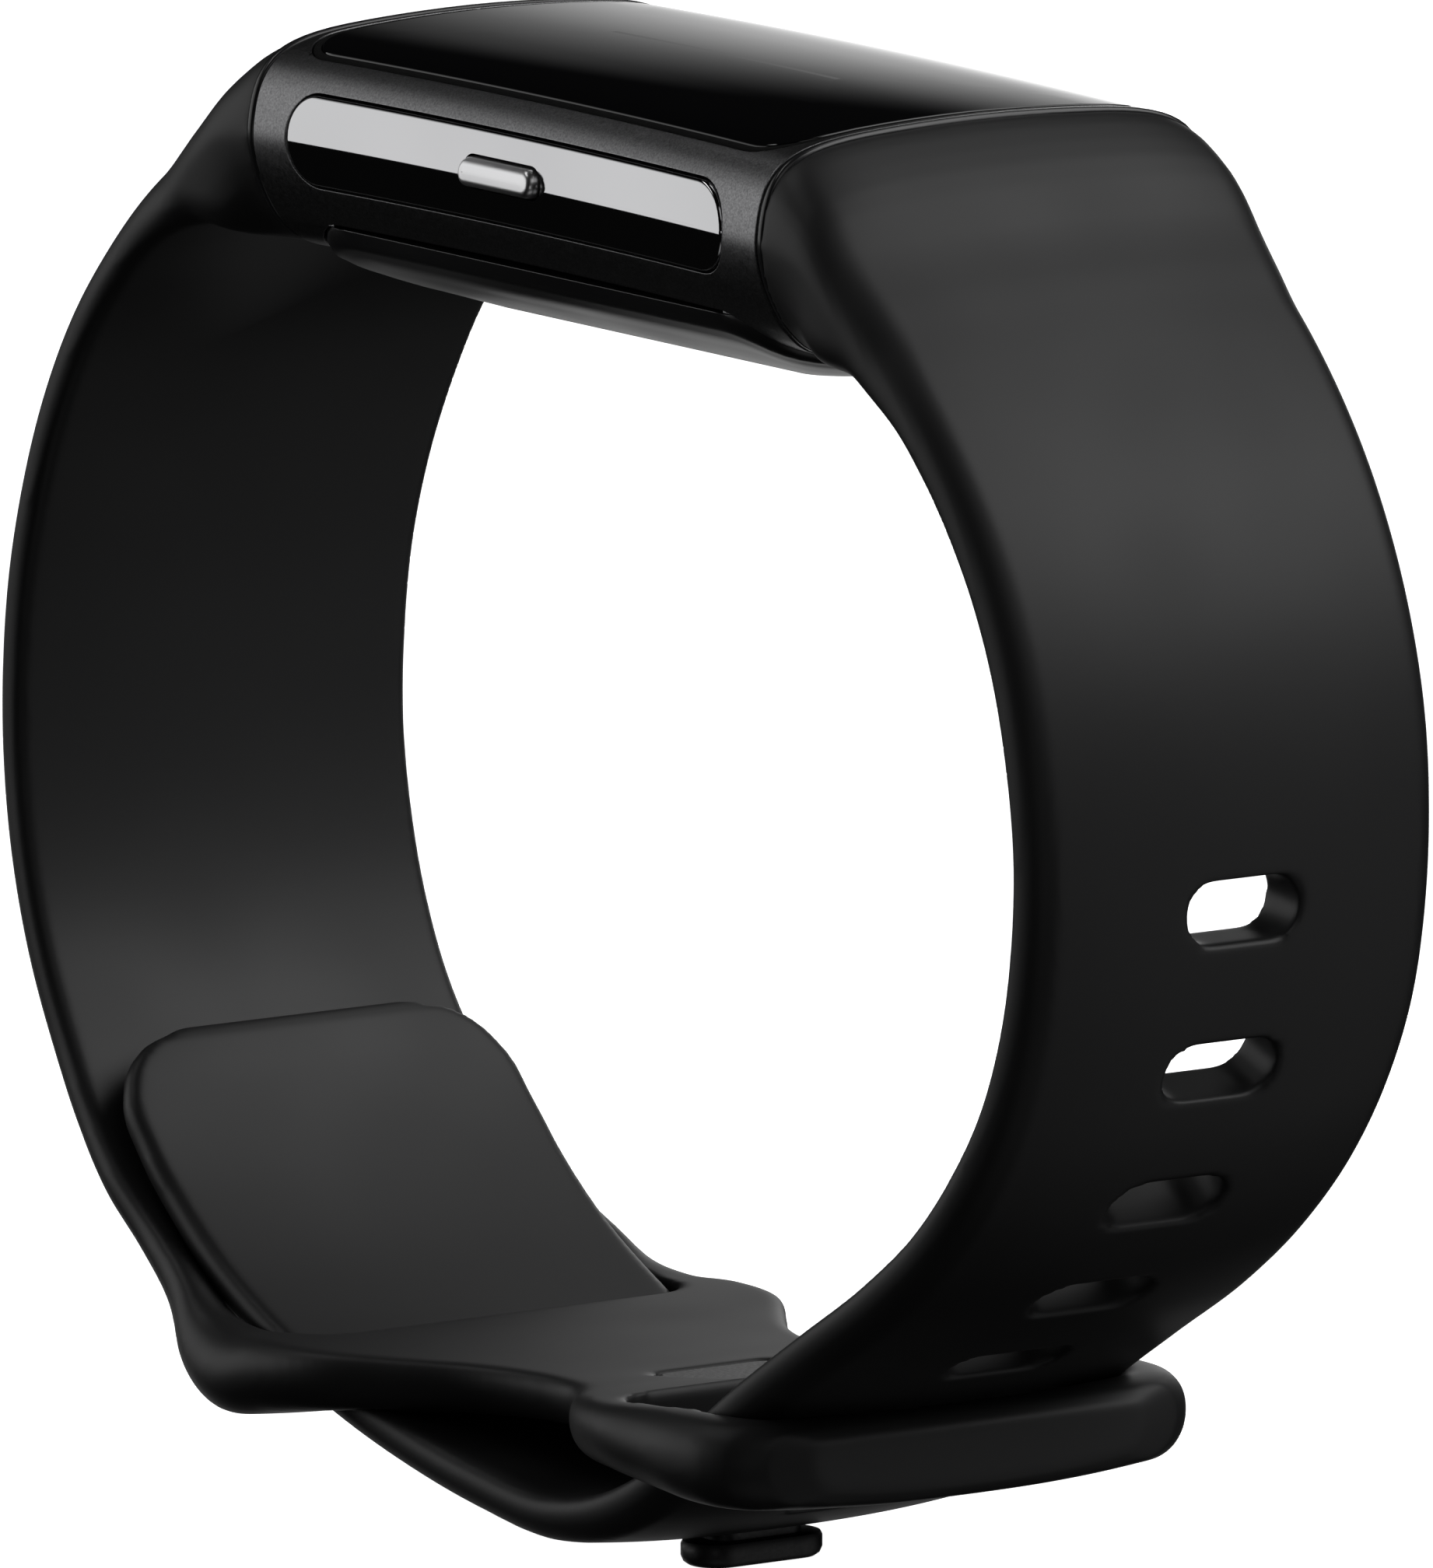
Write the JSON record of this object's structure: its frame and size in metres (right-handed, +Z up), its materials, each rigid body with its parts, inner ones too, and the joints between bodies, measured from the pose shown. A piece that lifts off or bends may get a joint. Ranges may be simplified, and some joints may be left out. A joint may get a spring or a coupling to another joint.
{
  "type": "fitness tracker band",
  "caption": "Slim wrist fitness tracker: curved glass display in a dark metal case, side key, gloss back with optical window, silicone band that threads through itself and locks on a peg.",
  "frame": {"origin": "middle of the wrist opening, halfway across the band", "axes": "+X along the case towards the slotted strap; +Y across the band away from the side key; +Z up, out through the display"},
  "size_m": [0.0776, 0.0262, 0.0637],
  "materials": {
    "silicone": "satin",
    "peg_plastic": "satin",
    "case_metal": "bead blasted, dark",
    "display_glass": "polished",
    "display_panel": "gloss",
    "side_mirror": "mirror gloss",
    "gloss_black": "gloss",
    "window_black": "gloss",
    "key_metal": "polished",
    "inner_plastic": "matte",
    "rubber": "matte",
    "board": "satin",
    "chip": "matte",
    "steel": "brushed",
    "gold": "plated",
    "battery_foil": "foil",
    "flex": "film"
  },
  "bodies": {
    "tracker": {"antenna": "flex", "back_cover": "gloss_black", "back_gasket": "rubber", "battery": "battery_foil", "board_screw_a": "steel", "board_screw_b": "steel", "case_frame": "case_metal", "charge_pin_a": "gold", "charge_pin_b": "gold", "display_flex": "flex", "display_gasket": "rubber", "display_glass": "display_glass", "display_panel": "display_panel", "key_bracket": "steel", "key_seal": "rubber", "key_switch": "inner_plastic", "led_a": "chip", "led_b": "chip", "loop_connector": "gloss_black", "loop_latch_spring": "steel", "loop_strap": "silicone", "main_board": "board", "midframe": "case_metal", "motor_base": "steel", "motor_can": "steel", "peg": "peg_plastic", "photodiode_a": "chip", "photodiode_b": "chip", "radio_chip": "chip", "sensor_board": "board", "sensor_window": "window_black", "shield_can": "steel", "side_panel_key": "side_mirror", "side_panel_plain": "side_mirror", "slotted_connector": "gloss_black", "slotted_latch_spring": "steel", "slotted_strap": "silicone"},
    "key": {"side_key": "key_metal", "key_clip": "steel"},
    "rotor": {"motor_rotor": "gold"},
    "loop_release": {"loop_release_button": "inner_plastic", "loop_latch_hook": "steel"},
    "slotted_release": {"slotted_release_button": "inner_plastic", "slotted_latch_hook": "steel"}
  },
  "joints": [
    {"name": "side_key_press", "type": "slide", "parent": "tracker", "child": "key", "axis": [0, 1, 0], "range_m": [0, 0.00025], "stiffness_N_per_m": 600},
    {"name": "motor_spin", "type": "hinge", "parent": "tracker", "child": "rotor", "pos_m": [-0.0103, 0, 0.0267], "axis": [0, 0, 1], "continuous": true},
    {"name": "loop_release_press", "type": "slide", "parent": "tracker", "child": "loop_release", "axis": [0, 0, 1], "range_m": [0, 0.0007], "stiffness_N_per_m": 400, "deforming": ["loop_latch_spring"]},
    {"name": "slotted_release_press", "type": "slide", "parent": "tracker", "child": "slotted_release", "axis": [0, 0, 1], "range_m": [0, 0.0007], "stiffness_N_per_m": 400, "deforming": ["slotted_latch_spring"]}
  ]
}
